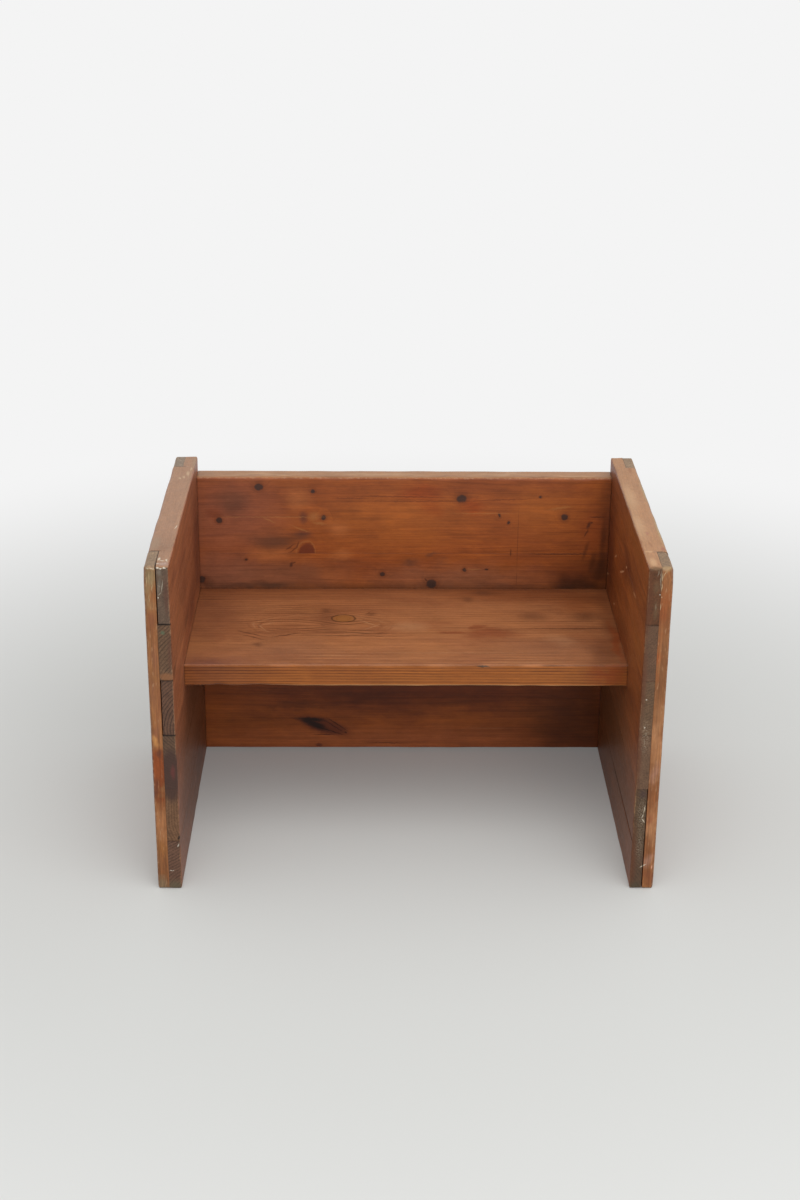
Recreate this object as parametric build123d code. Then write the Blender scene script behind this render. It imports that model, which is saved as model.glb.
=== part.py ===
from build123d import *
import os

# A plank bench: two lapped side panels, a seat plank and a boarded back between them.
# Millimetres, +Z up, +X along the width, the front faces -Y, origin at the bottom centre.

# Overall size
overall_width = 750.0
side_depth = 486.0
side_height = 525.0

# Side panels: stacked boards, with an upright stile lapped into the outer face at each end
side_thickness = 36.0
side_board_width = 88.5
stile_thickness = 17.0
front_stile_width = 62.0
rear_stile_width = 54.0
side_arris = 4.0

# Seat plank between the sides
seat_height = 304.5
seat_thickness = 35.0
seat_setback = 148.5
seat_top_arris = 4.0
seat_under_arris = 2.0

# Back between the sides, flush with their rear edges
back_thickness = 35.0
back_drop = 24.5
back_floor_gap = 6.5
back_top_board_width = 133.0
back_lower_boards = 2
back_top_arris = 4.0
back_under_arris = 1.5

# Hidden dowels and their holes
dowel_diameter = 12.0
dowel_length = 40.0
dowel_chamfer = 1.0
hole_clearance = 0.1
hole_end_room = 1.0
hole_wall = 5.0
side_dowel_inset = 70.0
seat_dowel_inset = 40.0
back_dowel_inset = 30.0
rear_dowel_inset = 85.0
seam_dowel_inset = 140.0
seat_end_dowels_each = 3
seat_rear_dowel_count = 4
back_seam_dowel_count = 3

# Planes that the pieces share
outer_x = overall_width / 2
inner_x = outer_x - side_thickness
lap_x = outer_x - stile_thickness
front_y = -side_depth / 2
rear_y = side_depth / 2
seat_front_y = front_y + seat_setback
back_front_y = rear_y - back_thickness
back_middle_y = rear_y - back_thickness / 2
front_stile_y = front_y + front_stile_width
rear_stile_y = rear_y - rear_stile_width
seat_bottom_z = seat_height - seat_thickness
seat_middle_z = seat_height - seat_thickness / 2
back_top_z = side_height - back_drop
side_middle_x = outer_x - side_thickness / 2

# Depth of a dowel in each piece that it enters
side_bite = min(dowel_length / 2, side_thickness - stile_thickness - hole_wall - hole_end_room)
back_bite = min(dowel_length / 2, back_thickness - hole_wall - hole_end_room)


def block(x_range, y_range, z_range):
    ranges = (x_range, y_range, z_range)
    size = [abs(high - low) for low, high in ranges]
    middle = [(high + low) / 2 for low, high in ranges]
    return Pos(*middle) * Box(*size)


def spread(low, high, count):
    step = (high - low) / (count - 1)
    return [low + step * index for index in range(count)]


# Turns that lay a rod along an axis
turns = {"x": Rot(0, 90, 0), "y": Rot(-90, 0, 0), "z": Rot(0, 0, 0)}


def dowel(middle, axis):
    rod = Cylinder(dowel_diameter / 2, dowel_length)
    rod = chamfer(rod.edges().filter_by(GeomType.CIRCLE), dowel_chamfer)
    return (Pos(*middle) * turns[axis] * rod).solid()


def dowel_hole(middle, axis):
    drill = Cylinder(dowel_diameter / 2 + hole_clearance, dowel_length + 2 * hole_end_room)
    return Pos(*middle) * turns[axis] * drill


def bored(piece, holes):
    box = piece.bounding_box()
    for hole in holes:
        reach = hole.bounding_box()
        apart = [
            reach.min.X > box.max.X or reach.max.X < box.min.X,
            reach.min.Y > box.max.Y or reach.max.Y < box.min.Y,
            reach.min.Z > box.max.Z or reach.max.Z < box.min.Z,
        ]
        if not any(apart):
            piece = piece - hole
    return piece


def save(shape, node):
    export_step(shape, os.path.join("parts", node + ".step"))


# Heights of the side boards, from the top one down: the last takes what is left of the side
side_board_count = max(1, round(side_height / side_board_width))
side_seams = [side_height - side_board_width * index for index in range(1, side_board_count)]
side_levels = [side_height, *side_seams, 0.0]

# Heights of the back boards, from the top one down
back_lower_top = back_top_z - back_top_board_width
back_levels = [back_top_z, *spread(back_lower_top, back_floor_gap, back_lower_boards + 1)]
back_seams = back_levels[1:-1]

# Middle points of the dowels, by the joint that they hold
side_dowel_rows = (front_stile_y + side_dowel_inset, rear_stile_y - side_dowel_inset)
seat_dowel_rows = spread(seat_front_y + seat_dowel_inset, back_front_y - seat_dowel_inset, seat_end_dowels_each)
back_dowel_rows = []
for top, bottom in zip(back_levels, back_levels[1:]):
    back_dowel_rows += [top - back_dowel_inset, bottom + back_dowel_inset]
end_dowel_x = inner_x + side_bite - dowel_length / 2
rear_dowel_y = back_front_y + back_bite - dowel_length / 2
rear_dowel_columns = spread(rear_dowel_inset - inner_x, inner_x - rear_dowel_inset, seat_rear_dowel_count)
seam_dowel_columns = spread(seam_dowel_inset - inner_x, inner_x - seam_dowel_inset, back_seam_dowel_count)

seat_end_points = [(side * end_dowel_x, y, seat_middle_z) for side in (-1, 1) for y in seat_dowel_rows]
back_end_points = [(side * end_dowel_x, back_middle_y, z) for side in (-1, 1) for z in back_dowel_rows]
seat_rear_points = [(x, rear_dowel_y, seat_middle_z) for x in rear_dowel_columns]
back_seam_points = [(x, back_middle_y, z) for x in seam_dowel_columns for z in back_seams]


def side_seam_points(side):
    return [(side * side_middle_x, y, z) for y in side_dowel_rows for z in side_seams]


# Holes across the width, from the seat and the back into the sides
end_holes = [dowel_hole(point, "x") for point in seat_end_points + back_end_points]
rear_holes = [dowel_hole(point, "y") for point in seat_rear_points]
back_seam_holes = [dowel_hole(point, "z") for point in back_seam_points]


def make_side(name, side):
    across = (side * inner_x, side * outer_x)
    lapped = (side * lap_x, side * outer_x)
    panel = block(across, (front_y, rear_y), (0, side_height))
    panel = fillet(panel.edges(), side_arris)
    front_lap = block(lapped, (front_y, front_stile_y), (0, side_height))
    rear_lap = block(lapped, (rear_stile_y, rear_y), (0, side_height))
    save((panel & front_lap).solid(), name + "_front_stile")
    save((panel & rear_lap).solid(), name + "_rear_stile")

    points = side_seam_points(side)
    holes = end_holes + [dowel_hole(point, "z") for point in points]
    core = panel - front_lap - rear_lap
    for index in range(side_board_count):
        levels = (side_levels[index + 1], side_levels[index])
        board = core & block(across, (front_y, rear_y), levels)
        save(bored(board, holes).solid(), f"{name}_side_board_{index + 1}")
    save_dowels(points, "z", name + "_board_dowels")


def make_seat():
    plank = block((-inner_x, inner_x), (seat_front_y, back_front_y), (seat_bottom_z, seat_height))
    top_edge = plank.edges().filter_by(Axis.X).group_by(Axis.Z)[-1].sort_by(Axis.Y)[0]
    plank = fillet(top_edge, seat_top_arris)
    under_edge = plank.edges().filter_by(Axis.X).group_by(Axis.Z)[0].sort_by(Axis.Y)[0]
    plank = fillet(under_edge, seat_under_arris)
    save(bored(plank, end_holes + rear_holes).solid(), "seat_plank")


def make_back():
    panel = block((-inner_x, inner_x), (back_front_y, rear_y), (back_floor_gap, back_top_z))
    panel = fillet(panel.edges().filter_by(Axis.X).group_by(Axis.Z)[-1], back_top_arris)
    panel = fillet(panel.edges().filter_by(Axis.X).group_by(Axis.Z)[0], back_under_arris)
    holes = end_holes + rear_holes + back_seam_holes
    for index in range(back_lower_boards + 1):
        levels = (back_levels[index + 1], back_levels[index])
        board = panel & block((-inner_x, inner_x), (back_front_y, rear_y), levels)
        save(bored(board, holes).solid(), f"back_board_{index + 1}")


def save_dowels(points, axis, node):
    save(Compound(children=[dowel(point, axis) for point in points]), node)


os.makedirs("parts", exist_ok=True)
make_side("left", -1)
make_side("right", 1)
make_seat()
make_back()
save_dowels(seat_end_points, "x", "seat_end_dowels")
save_dowels(back_end_points, "x", "back_end_dowels")
save_dowels(seat_rear_points, "y", "seat_rear_dowels")
save_dowels(back_seam_points, "z", "back_board_dowels")
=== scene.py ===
import math
from functools import partial
import bpy
import numpy as np
from mathutils import Matrix, Vector


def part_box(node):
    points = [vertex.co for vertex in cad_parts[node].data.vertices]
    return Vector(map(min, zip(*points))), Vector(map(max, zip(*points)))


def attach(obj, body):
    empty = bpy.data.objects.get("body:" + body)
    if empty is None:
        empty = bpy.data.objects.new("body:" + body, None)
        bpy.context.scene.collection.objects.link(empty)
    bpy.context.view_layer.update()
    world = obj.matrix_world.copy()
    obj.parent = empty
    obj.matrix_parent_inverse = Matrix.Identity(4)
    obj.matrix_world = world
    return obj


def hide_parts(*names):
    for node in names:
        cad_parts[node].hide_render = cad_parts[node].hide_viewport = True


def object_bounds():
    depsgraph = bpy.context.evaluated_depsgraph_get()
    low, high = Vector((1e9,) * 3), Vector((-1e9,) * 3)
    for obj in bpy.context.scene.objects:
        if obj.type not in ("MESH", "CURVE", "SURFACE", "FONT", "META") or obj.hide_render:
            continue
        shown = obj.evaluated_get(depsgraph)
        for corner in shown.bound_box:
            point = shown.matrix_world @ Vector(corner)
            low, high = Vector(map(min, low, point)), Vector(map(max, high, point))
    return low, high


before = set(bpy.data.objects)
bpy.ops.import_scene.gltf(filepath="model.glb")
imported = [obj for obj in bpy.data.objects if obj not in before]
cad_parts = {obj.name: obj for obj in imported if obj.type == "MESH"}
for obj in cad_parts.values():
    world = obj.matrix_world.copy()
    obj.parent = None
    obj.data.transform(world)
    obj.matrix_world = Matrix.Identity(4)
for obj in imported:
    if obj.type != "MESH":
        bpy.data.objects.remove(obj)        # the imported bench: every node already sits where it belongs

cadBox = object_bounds()
print("frame loaded,", len(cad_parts), "nodes")

# The bench in millimetres, read from the frame: x to the right, y to the back, z up
millimetre = 0.001


def boxOf(node):
    return [np.array(corner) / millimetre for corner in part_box(node)]


seatLow, seatHigh = boxOf("seat_plank")
backLow, backHigh = boxOf("back_board_1")
stileLow, stileHigh = boxOf("right_front_stile")
rearLow, rearHigh = boxOf("right_rear_stile")
outerX, topZ = cadBox[1][0] / millimetre, cadBox[1][2] / millimetre
innerX, lapX = seatHigh[0], stileLow[0]
frontY, rearY = stileLow[1], rearHigh[1]
stileEndY, rearStileY = stileHigh[1], rearLow[1]

# Shapes

# Twice the mean of eight seeded plane waves of about the given wavelength: a smooth value of about -1 to 1
def wander(points, seed, wavelength):
    draw = np.random.default_rng(seed)
    heading = draw.normal(size=(8, 3))
    heading /= np.linalg.norm(heading, axis=1, keepdims=True)
    lengths = wavelength * draw.uniform(0.7, 1.5, (8, 1))
    phase = draw.uniform(0, 2 * np.pi, 8)
    return 2 * np.sin(points @ (heading / lengths).T * 2 * np.pi + phase).mean(axis=1)


# Grid lines from low to high: tan(0..45 degrees) spacing over the arris at each end, a steady step between
def gridLines(low, high, lowArris, highArris, step, cuts):
    turn = np.tan(np.linspace(0, np.pi / 4, 5))
    near = low + lowArris * (1 - turn)
    far = high - highArris * (1 - turn)
    count = max(2, round((high - highArris - low - lowArris) / step) + 1)
    between = np.linspace(low + lowArris, high - highArris, count)
    return np.unique(np.concatenate([near, between, far, cuts]).round(3))


# The lattice points on the skin of a box, and the quads between them, with faces outwards
def boxSkin(lines):
    shape = [len(line) for line in lines]
    skin = np.zeros(shape, bool)
    for axis in range(3):
        ends = [slice(None)] * 3
        ends[axis] = [0, -1]
        skin[tuple(ends)] = True
    numbers = np.full(shape, -1)
    numbers[skin] = np.arange(skin.sum())
    points = np.stack([lines[k][index] for k, index in enumerate(np.nonzero(skin))], axis=1)
    quads = []
    for axis in range(3):
        for end in (0, -1):
            sheet = np.take(numbers, end, axis=axis)
            corners = [sheet[:-1, :-1], sheet[1:, :-1], sheet[1:, 1:], sheet[:-1, 1:]]
            if (end == 0) != (axis == 1):
                corners = corners[::-1]
            quads.append(np.stack(corners, axis=-1).reshape(-1, 4))
    return points, np.concatenate(quads)


# What a board has if its own dictionary says nothing else. An edge is named by its axis and by the side, -1
# or 1, on which it lies in the other two axes. In mm: wearRun and planingRun are wavelengths, gapRun is the
# fade of an open lap, lapKeep the depth that a lap leaves alone, and seamMargin how far a seam passes its
# limits. Edges under sharpArris aren't rubbed, and the others are rubbed over rubReach times their radius.
plain = dict(
    arrises={}, seamArris=0.3, cuts={}, chips=[], laps=[], seams=[], wear=0.25, planing=0.1, step=4.0, seed=1,
    wearRun=55, planingRun=90, gapRun=25, lapKeep=6, sharpArris=1.4, leastArris=0.2, rubReach=1.1,
    seamMargin=0.5, seamLines=(0.5, 1.2, 2.4),
)


# A worn board: the skin of its box, with every edge rolled to an arc. For an edge along one axis, a point
# whose other two coordinates both pass the arc's centre lines is drawn in to the radius from that centre.
def wornBoard(board):
    low, high = boxOf(board["node"])
    middle, half = (low + high) / 2, (high - low) / 2
    edges = [(axis, first, second) for axis in range(3) for first in (-1, 1) for second in (-1, 1)]
    others = {0: (1, 2), 1: (0, 2), 2: (0, 1)}
    radii = {edge: board["arrises"].get(edge, board["seamArris"]) for edge in edges}
    reach = {}
    for (axis, first, second), radius in radii.items():
        for side, other in zip((first, second), others[axis]):
            reach[other, side] = max(radius, reach.get((other, side), 0))
    lines = []
    for k in range(3):
        cuts = list(board["cuts"].get(k, ()))
        cuts += [end for gap in board["seamLines"] for end in (low[k] + gap, high[k] - gap)]
        lines.append(gridLines(low[k], high[k], reach[k, -1], reach[k, 1], board["step"], cuts))
    points, quads = boxSkin(lines)
    flat = points.copy()

    arris = np.zeros(len(points))
    for edge, radius in radii.items():
        axis, first, second = edge
        b, c = others[axis]
        run = flat[:, axis]
        line = np.stack([run, run * 0, run * 0], axis=1)
        spread = radius * (1 + board["wear"] * wander(line, board["seed"], board["wearRun"]))
        for chip in board["chips"]:
            if chip["edge"] == edge:
                spread = spread + chip["depth"] * np.exp(-((run - chip["at"]) / chip["width"]) ** 2)
        for lap in board["laps"]:
            if axis == 1 and first == lap["outer"]:
                spread = np.where((run >= lap["low"]) & (run <= lap["high"]), board["seamArris"], spread)
        spread = np.maximum(spread, board["leastArris"])
        beyondB = first * (points[:, b] - middle[b]) - half[b] + spread
        beyondC = second * (points[:, c] - middle[c]) - half[c] + spread
        length = np.hypot(np.maximum(beyondB, 0), np.maximum(beyondC, 0))
        rolled = (beyondB > 0) & (beyondC > 0) & (length > spread)
        shrink = np.where(rolled, spread / np.maximum(length, 1e-6), 1)
        points[:, b] += first * beyondB * (shrink - 1)
        points[:, c] += second * beyondC * (shrink - 1)
        if radius > board["sharpArris"]:
            awayB = half[b] - first * (flat[:, b] - middle[b])
            awayC = half[c] - second * (flat[:, c] - middle[c])
            rubbed = board["rubReach"] * radius
            arris = np.maximum(arris, np.exp(-(np.hypot(awayB, awayC) / rubbed) ** 2))

    # the lapped ends: past a plane that stays put, x is drawn in so that the outer face meets the lap plane
    for lap in board["laps"]:
        fixed = lap["inner"] + lap["outer"] * board["lapKeep"]
        target = lap["lapX"] * lap["outer"]
        share = (target - fixed) / (lap["outer"] * half[0] + middle[0] - fixed)
        gap = lap["gap"] * np.exp(-np.abs(points[:, 1] - lap["tip"]) / board["gapRun"])
        inLap = (flat[:, 1] - lap["low"] >= 0) & (flat[:, 1] - lap["high"] <= 0)
        moved = inLap & (lap["outer"] * (points[:, 0] - fixed) > 0)
        drawn = fixed + (points[:, 0] - fixed) * share * (1 - gap / abs(target - fixed))
        points[:, 0] = np.where(moved, drawn, points[:, 0])

    # how dark each point is with dirt in a joint: a bell about the joint's plane, cut to where it shows
    seam = np.zeros(len(points))
    for line in board["seams"]:
        near = line["strength"] * np.exp(-((points[:, line["axis"]] - line["at"]) / line["width"]) ** 2)
        for axis, lowEnd, highEnd in line.get("where", ()):
            inside = points[:, axis] >= lowEnd - board["seamMargin"]
            near = near * inside * (points[:, axis] <= highEnd + board["seamMargin"])
        seam = np.maximum(seam, near)

    # hand-planed faces are never quite flat
    planed = np.stack([wander(flat, board["seed"] + k, board["planingRun"]) for k in (1, 2, 3)], axis=1)
    points = points + planed * board["planing"]

    mesh = bpy.data.meshes.new(board["name"])
    mesh.from_pydata((points * millimetre).tolist(), [], quads.tolist())
    mesh.polygons.foreach_set("use_smooth", np.ones(len(quads), bool))
    for label, values in (("arris", arris), ("seam", seam)):
        mesh.attributes.new(label, "FLOAT", "POINT").data.foreach_set("value", values.astype(np.float32))
    mesh.update()
    piece = bpy.data.objects.new(board["name"], mesh)
    bpy.context.scene.collection.objects.link(piece)
    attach(piece, "root")
    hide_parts(board["node"])
    return piece


# Finishes

def linear(hexColour):
    channels = [int(hexColour[k:k + 2], 16) / 255 for k in (1, 3, 5)]
    return [c / 12.92 if c <= 0.04045 else ((c + 0.055) / 1.055) ** 2.4 for c in channels] + [1.0]


def addNode(tree, kind, inputs, **settings):
    node = tree.nodes.new("ShaderNode" + kind)
    for key, value in settings.items():
        setattr(node, key, value)
    for key, value in inputs.items():
        if isinstance(value, bpy.types.Node):
            value = next(socket for socket in value.outputs if socket.enabled)
        if isinstance(value, bpy.types.NodeSocket):
            tree.links.new(value, node.inputs[key])
        else:
            node.inputs[key].default_value = value
    return node


# Clears the nodes of a material or a world, and gives addNode tied to its tree
def emptyNodes(owner):
    owner.use_nodes = True
    owner.node_tree.nodes.clear()
    return partial(addNode, owner.node_tree)


# Settings that many nodes share
smooth = dict(interpolation_type="SMOOTHSTEP")
smoother = dict(interpolation_type="SMOOTHERSTEP")
mixing = dict(data_type="RGBA")


# Distance to the nearest of several spots, counted in each spot's own half sizes
def nearestSpot(add, point, spots):
    nearest = 9.0
    for at, halfSize, turn in spots:
        if any(turn):
            angles = [math.radians(angle) for angle in turn]
            local = add("Mapping", {"Vector": point, "Location": at, "Scale": halfSize, "Rotation": angles},
                        vector_type="TEXTURE")
        else:
            shift = [-middle / size for middle, size in zip(at, halfSize)]
            local = add("VectorMath", {0: point, 1: [1 / size for size in halfSize], 2: shift},
                        operation="MULTIPLY_ADD")
        away = add("VectorMath", {0: local}, operation="LENGTH")
        nearest = add("Math", {0: away.outputs["Value"], 1: nearest}, operation="MINIMUM")
    return nearest


# Points shifted by a noise whose cells have the given sizes in mm, by up to half the given shift
def warped(add, point, sizes, shift, detail):
    scaled = add("VectorMath", {0: point, 1: [1 / size for size in sizes]}, operation="MULTIPLY")
    noise = add("TexNoise", {"Vector": scaled, "Scale": 1.0, "Detail": detail, "Roughness": 0.55})
    centred = add("VectorMath", {0: noise.outputs["Color"], 1: (0.5, 0.5, 0.5)}, operation="SUBTRACT")
    return add("VectorMath", {0: centred, 1: shift, 2: point}, operation="MULTIPLY_ADD")


fineShift, broadShift = 4, 36   # mm by which the outlines of marks and of stains wander, half to each side
fadeOut = 0.35                  # the share of a spot's softness that lies outside its edge


# Colour laid over colour where the spots are; soft is the share of the radius over which it fades
def laidOver(add, colour, point, layer, breaks=None):
    away = nearestSpot(add, point, layer["spots"])
    if "outline" in layer:
        away = add("Math", {0: away, 1: 1.0}, operation="SUBTRACT")
        away = add("Math", {0: away}, operation="ABSOLUTE")
        edges = {"From Min": 0.0, "From Max": layer["outline"]}
    else:
        edges = {"From Min": 1 - layer["soft"], "From Max": 1 + fadeOut * layer["soft"]}
    mask = add("MapRange", {"Value": away, **edges, "To Min": layer["strength"], "To Max": 0.0}, **smooth)
    if "broken" in layer:
        pattern, hidden, plainAt = layer["broken"]
        shown = add("MapRange", {"Value": breaks[pattern], "From Min": hidden, "From Max": plainAt})
        mask = add("Math", {0: mask, 1: shown}, operation="MULTIPLY")
    return add("Mix", {0: mask, 6: colour, 7: linear(layer["colour"])}, **mixing,
               blend_type=layer.get("blend", "MIX"))


# What the pine has if a board's own look says nothing else; widths in mm
pine = dict(
    early="#975327", late="#64300F", lateStrength=0.5, leanYear=0.2, plainRange=(0.4, 1.3), lines=0.3,
    glow="#A85F28", glowStrength=0.35, cloud="#6A3319", cloudStrength=0.45, patches=[], marks=[],
    endEarly="#5F4B3A", endLate="#3D2C20", endRings=1.0, endPatches=[], faceTint=None,
    rubbed="#B28A69", rubbedStrength=0.0, rubbedPatches=[], eyes=[], plainSpots=[],
    knots=[], knotCore="#352520", knotHalo="#5E2C14", knotStrength=0.88, knotReach=4.5, knotSwell=7.0,
    worn="#B48C68", wornStrength=0.5, grime="#1E130C", nicks=0.5, flecks=0.0,
    fibreStrength=0.2, bandStrength=0.16, mottleStrength=0.1, gritStrength=0.06,
    drift=14.0, taper=0.012, ringWidth=3.0, roughness=0.34, specular=0.3, tone=1.0, seed=1,
)


# Stained pine under an old satin varnish. Growth rings are shells about the pith, so one field gives lines
# and arches on the faces and arcs on the sawn ends. Late wood is darker, and sawn ends drink more stain.
def stainedPine(name, look):
    material = bpy.data.materials.new(name)
    add = emptyNodes(material)
    place = add("TexCoord", {})
    point = add("VectorMath", {0: place.outputs["Object"], "Scale": 1 / millimetre}, operation="SCALE")
    parts = add("SeparateXYZ", {0: point})
    along, across, through = [parts.outputs[axis] for axis in look["axes"]]
    grain = add("CombineXYZ", {0: along, 1: across, 2: through})
    grain = add("VectorMath", {0: grain, 1: (look["seed"] * 911.0, 0, 0)}, operation="ADD")
    drift = warped(add, grain, (420, 85, 85), (0, look["drift"], look["drift"]), 3.0)   # slow drift
    fine = warped(add, point, (6, 6, 6), [fineShift] * 3, 2.0)          # ragged outlines of knots and marks
    broad = warped(add, point, (45, 45, 45), [broadShift] * 3, 3.0)     # wandering outlines of stains
    wavy = warped(add, point, (34, 16, 16), (22, 11, 11), 2.0)          # waving grain round a knot

    # the grain parts round each eye: points near its middle line are drawn towards that line
    for eye in look["eyes"]:
        middle = eye["spot"][0][look["axes"][1]]
        pull = nearestSpot(add, point, [eye["spot"]])
        pull = add("MapRange", {"Value": pull, "To Min": eye["share"], "To Max": 0.0}, **smoother)
        offset = add("VectorMath", {0: drift, 1: (0, middle, 0)}, operation="SUBTRACT")
        offset = add("VectorMath", {0: offset, 1: (0, 1, 0)}, operation="MULTIPLY")
        offset = add("VectorMath", {0: offset, "Scale": pull}, operation="SCALE")
        drift = add("VectorMath", {0: drift, 1: offset}, operation="SUBTRACT")

    # radius from the pith, with taper along the trunk and a swelling round knots
    radius = add("VectorMath", {0: drift, 1: (0, *look["pith"])}, operation="SUBTRACT")
    radius = add("VectorMath", {0: radius, 1: (0, 1, 1)}, operation="MULTIPLY")
    radius = add("VectorMath", {0: radius}, operation="LENGTH").outputs["Value"]
    radius = add("Math", {0: along, 1: look["taper"], 2: radius}, operation="MULTIPLY_ADD")
    knotAway = nearestSpot(add, fine, look["knots"])
    if look["knots"]:
        raised = add("MapRange", {"Value": knotAway, "From Min": 0.0, "From Max": look["knotReach"],
                                  "To Min": look["knotSwell"], "To Max": 0.0}, **smoother)
        radius = add("Math", {0: radius, 1: raised}, operation="ADD")
    count = add("Math", {0: radius, 1: look["ringWidth"]}, operation="DIVIDE")
    share = add("Math", {0: count}, operation="FRACT")
    late = add("ValToRGB", {0: share})
    ramp = late.color_ramp
    ramp.elements[0].color = ramp.elements[1].color = (0.1, 0.1, 0.1, 1)
    for position, value in ((0.5, 0.05), (0.8, 0.8), (0.93, 1.0)):
        ramp.elements.new(position).color = (value, value, value, 1)
    year = add("Math", {0: count}, operation="FLOOR")
    year = add("TexWhiteNoise", {"W": year}, noise_dimensions="1D").outputs["Value"]
    year = add("MapRange", {"Value": year, "To Min": look["leanYear"], "To Max": 1.0})
    late = add("Math", {0: late.outputs["Color"], 1: year}, operation="MULTIPLY")

    # noises by the length and width of their cells in mm, detail and roughness: fibres 2.4 mm wide (real ones
    # are finer, but would not show), bands, single lines, grit, clouds of uneven stain and blotches
    cells = dict(
        fibre=(drift, 140, 2.4, 2.0, 0.6), band=(drift, 280, 9, 4.0, 0.65), line=(drift, 220, 2.6, 1.0, 0.5),
        grit=(grain, 9, 1.6, 2.0, 0.5), cloud=(grain, 130, 55, 5.0, 0.62), mottle=(grain, 40, 15, 5.0, 0.65))
    noises = {}
    for label, (source, long, wide, detail, rough) in cells.items():
        scaled = add("VectorMath", {0: source, 1: (1 / long, 1 / wide, 1 / wide)}, operation="MULTIPLY")
        noises[label] = add("TexNoise", {"Vector": scaled, "Scale": 1.0, "Detail": detail,
                                         "Roughness": rough})
    fibre, band, line, grit, cloud, mottle = noises.values()
    cloud.inputs["Distortion"].default_value = 0.5
    line = add("MapRange", {"Value": line, "From Min": 0.57, "From Max": 0.7, "To Max": look["lines"]})
    cloudSide = add("SeparateColor", {0: cloud.outputs["Color"]})

    # the rings show plainly in some places and hardly in others
    weak, strong = [look["lateStrength"] * share for share in look["plainRange"]]
    plainness = add("MapRange", {"Value": cloudSide.outputs[0], "From Min": 0.35, "From Max": 0.65,
                                 "To Min": weak, "To Max": strong})
    for plainer in look["plainSpots"]:
        raised = nearestSpot(add, broad, [plainer["spot"]])
        raised = add("MapRange", {"Value": raised, "From Min": 0.3, "From Max": 1.2,
                                  "To Min": plainer["more"], "To Max": 0.0}, **smooth)
        plainness = add("Math", {0: plainness, 1: raised}, operation="ADD")
    lateMix = add("Math", {0: late, 1: plainness}, operation="MULTIPLY", use_clamp=True)
    colour = add("Mix", {0: lateMix, 6: linear(look["early"]), 7: linear(look["late"])}, **mixing)
    for channel, label in ((1, "glow"), (2, "cloud")):
        mask = add("MapRange", {"Value": cloudSide.outputs[channel], "From Min": 0.42, "From Max": 0.68,
                                "To Max": look[label + "Strength"]}, **smooth)
        colour = add("Mix", {0: mask, 6: colour, 7: linear(look[label])}, **mixing)
    colour = add("Mix", {0: line, 6: colour, 7: linear(look["late"])}, **mixing)
    for patch in look["patches"]:
        colour = laidOver(add, colour, broad, patch)

    # faces across one axis took more stain where the look asks for it
    normal = add("SeparateXYZ", {0: place.outputs["Normal"]})
    if look["faceTint"]:
        facing = add("Math", {0: normal.outputs[look["faceTint"]["axis"]]}, operation="ABSOLUTE")
        facing = add("MapRange", {"Value": facing, "From Min": 0.3, "From Max": 0.9}, **smooth)
        colour = add("Mix", {0: facing, 6: colour, 7: linear(look["faceTint"]["tint"])}, **mixing,
                     blend_type="MULTIPLY")

    # sawn ends: greyer, with the rings plain to see
    endwise = add("Math", {0: normal.outputs[look["axes"][0]]}, operation="ABSOLUTE")
    endwise = add("MapRange", {"Value": endwise, "From Min": 0.35, "From Max": 0.75}, **smooth)
    endMix = add("Math", {0: late, 1: look["endRings"]}, operation="MULTIPLY")
    endTone = add("Mix", {0: endMix, 6: linear(look["endEarly"]), 7: linear(look["endLate"])}, **mixing)
    for patch in look["endPatches"]:
        endTone = laidOver(add, endTone, broad, patch)
    colour = add("Mix", {0: endwise, 6: colour, 7: endTone}, **mixing)

    # top faces rubbed pale by hands, where fibres and bands hardly show
    fibreShown, bandShown = fibre, band
    if look["rubbedStrength"]:
        rubbed = add("MapRange", {"Value": normal.outputs[2], "From Min": 0.6, "From Max": 0.95,
                                  "To Max": look["rubbedStrength"]}, **smooth)
        fibreShown = add("Mix", {0: rubbed, 2: fibre, 3: 0.5})
        bandShown = add("Mix", {0: rubbed, 2: band, 3: 0.5})
        rubMix = add("Math", {0: late, 1: 0.1}, operation="MULTIPLY")
        rubTone = add("Mix", {0: rubMix, 6: linear(look["rubbed"]), 7: colour}, **mixing)
        for patch in look["rubbedPatches"]:
            rubTone = laidOver(add, rubTone, broad, patch)
        colour = add("Mix", {0: rubbed, 6: colour, 7: rubTone}, **mixing)

    # knots: a dark core in a warm halo
    if look["knots"]:
        for nearEnd, farEnd, strength, tint in ((0.8, 2.4, 0.45, look["knotHalo"]),
                                                (0.75, 1.15, look["knotStrength"], look["knotCore"])):
            mask = add("MapRange", {"Value": knotAway, "From Min": nearEnd, "From Max": farEnd,
                                    "To Min": strength, "To Max": 0.0}, **smooth)
            colour = add("Mix", {0: mask, 6: colour, 7: linear(tint)}, **mixing)

    # fibres, bands and blotches as lighter and darker places
    for streak, label, level in ((fibreShown, "fibre", 1.0), (bandShown, "band", look["tone"]),
                                 (mottle, "mottle", 1.0), (grit, "grit", 1.0)):
        strength = look[label + "Strength"]
        tone = add("MapRange", {"Value": streak, "From Min": 0.3, "From Max": 0.7,
                                "To Min": level * (1 - strength), "To Max": level * (1 + strength)})
        colour = add("VectorMath", {0: colour, "Scale": tone}, operation="SCALE")

    # small dark nicks and pores, up to about 1.3 mm across, a few in every 50 mm
    cell = add("TexVoronoi", {"Vector": fine, "Scale": 1 / 24})
    size = add("SeparateColor", {0: cell.outputs["Color"]})
    size = add("MapRange", {"Value": size, "From Min": 0.55, "To Min": 0.001, "To Max": 0.055})
    nick = add("MapRange", {"Value": cell.outputs["Distance"], "From Max": size, "To Min": look["nicks"],
                            "To Max": 0.0})
    colour = add("Mix", {0: nick, 6: colour, 7: linear(look["grime"])}, **mixing)

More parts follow.
